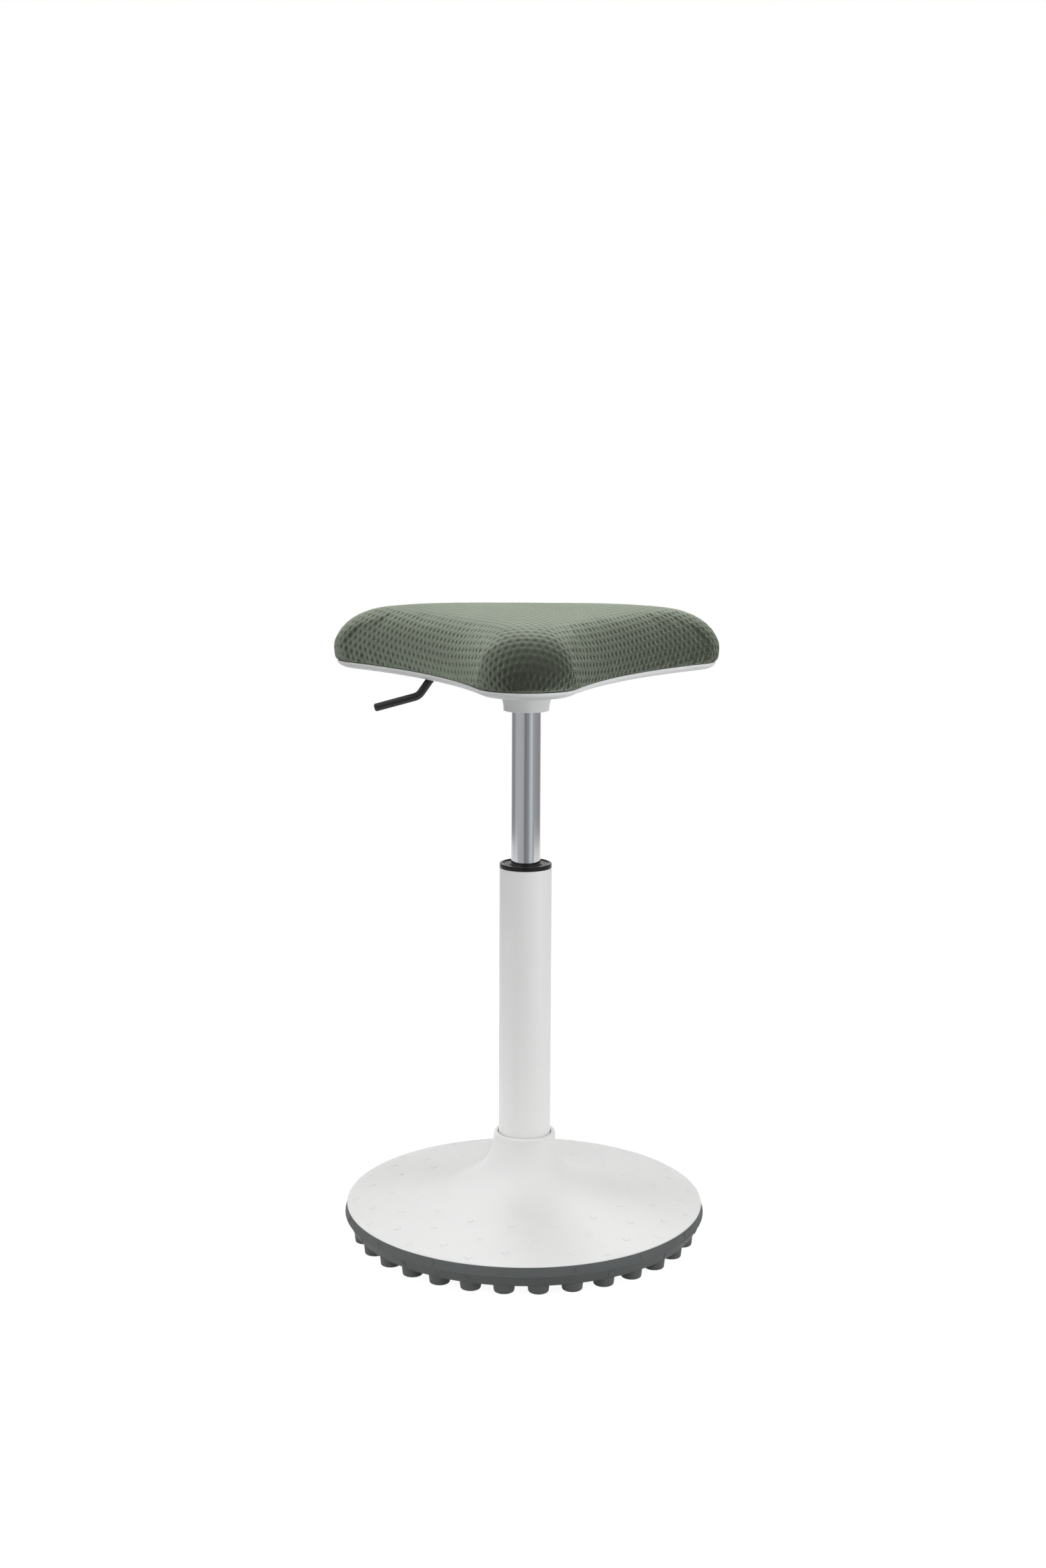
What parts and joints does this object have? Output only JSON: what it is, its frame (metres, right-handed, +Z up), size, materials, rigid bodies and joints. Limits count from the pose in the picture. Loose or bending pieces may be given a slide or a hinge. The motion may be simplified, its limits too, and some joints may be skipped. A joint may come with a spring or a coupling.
{
  "type": "office stool",
  "caption": "Swivel stool with a round weighted base, a gas spring column and a three-lobed padded seat with a release lever.",
  "frame": {"origin": "on the floor under the column's axis, at the middle of the sole's centre pad", "axes": "+Z up along the column; -Y towards the seat's front lobe; +X to the right seen from the front"},
  "size_m": [0.3744, 0.383, 0.605],
  "materials": {
    "sole_rubber": "matt grey moulded rubber",
    "cover_white": "satin white moulded plastic",
    "post_white": "satin white powder coat",
    "ring_black": "glossy black plastic",
    "tube_steel": "satin steel",
    "shell_white": "satin white moulded plastic",
    "lever_black": "black powder coat",
    "knit_fabric": "grey-green knitted cloth with a blistered pattern",
    "seat_foam": "moulded polyurethane foam",
    "pan_plastic": "black glass-filled plastic",
    "cast_iron": "cast iron, dark primer",
    "socket_steel": "black painted steel",
    "zinc_steel": "zinc-plated steel",
    "bearing_steel": "hardened ground steel",
    "rod_chrome": "hard chrome",
    "nylon_natural": "natural nylon",
    "valve_brass": "turned brass",
    "aluminium_plain": "turned aluminium",
    "seal_rubber": "black nitrile rubber"
  },
  "bodies": {
    "base": {"rubber_sole": "sole_rubber", "base_weight": "cast_iron", "base_cover": "cover_white", "cover_screws": "zinc_steel", "sole_screws": "zinc_steel", "standpipe": "post_white", "guide_bush": "ring_black", "bearing_floor_washer": "bearing_steel"},
    "bearing": {"bearing_cage": "nylon_natural", "bearing_rollers": "bearing_steel"},
    "rod": {"piston_rod": "rod_chrome", "rod_washer": "zinc_steel", "rod_clip": "zinc_steel", "bearing_top_washer": "bearing_steel", "rubber_buffer": "seal_rubber", "piston": "aluminium_plain", "piston_seal": "seal_rubber", "piston_nut": "zinc_steel"},
    "seat": {"pressure_tube": "tube_steel", "inner_tube": "aluminium_plain", "rod_guide": "nylon_natural", "rod_seal": "seal_rubber", "seal_washer": "aluminium_plain", "valve_body": "valve_brass", "valve_seals": "seal_rubber", "tube_socket": "socket_steel", "socket_screws": "zinc_steel", "tee_nuts": "zinc_steel", "pivot_pin": "bearing_steel", "pivot_clips": "zinc_steel", "seat_shell": "shell_white", "shell_screws": "zinc_steel", "seat_pan": "pan_plastic", "seat_foam": "seat_foam", "seat_cover": "knit_fabric"},
    "lever": {"release_lever": "lever_black", "rocker": "socket_steel"},
    "valve": {"valve_pin": "bearing_steel"}
  },
  "joints": [
    {"name": "seat_swivel", "type": "hinge", "parent": "base", "child": "rod", "pos_m": [0, 0, 0.033], "axis": [0, 0, 1], "continuous": true},
    {"name": "bearing_turn", "type": "hinge", "parent": "base", "child": "bearing", "pos_m": [0, 0, 0.033], "axis": [0, 0, 1], "continuous": true},
    {"name": "seat_height", "type": "slide", "parent": "rod", "child": "seat", "axis": [0, 0, 1], "range_m": [-0.125, 0.095]},
    {"name": "lever_tip", "type": "hinge", "parent": "seat", "child": "lever", "pos_m": [-0.02364, -0.00417, 0.5525], "axis": [-0.1736, 0.9848, 0], "range_deg": [0, 5], "stiffness_Nm_per_rad": 1.5},
    {"name": "valve_press", "type": "slide", "parent": "seat", "child": "valve", "axis": [0, 0, -1], "range_m": [0, 0.0021]}
  ],
  "couplings": [
    {"joint": "bearing_turn", "follows": "seat_swivel", "ratio": 0.5},
    {"joint": "valve_press", "follows": "lever_tip", "m_per_rad": 0.024}
  ]
}
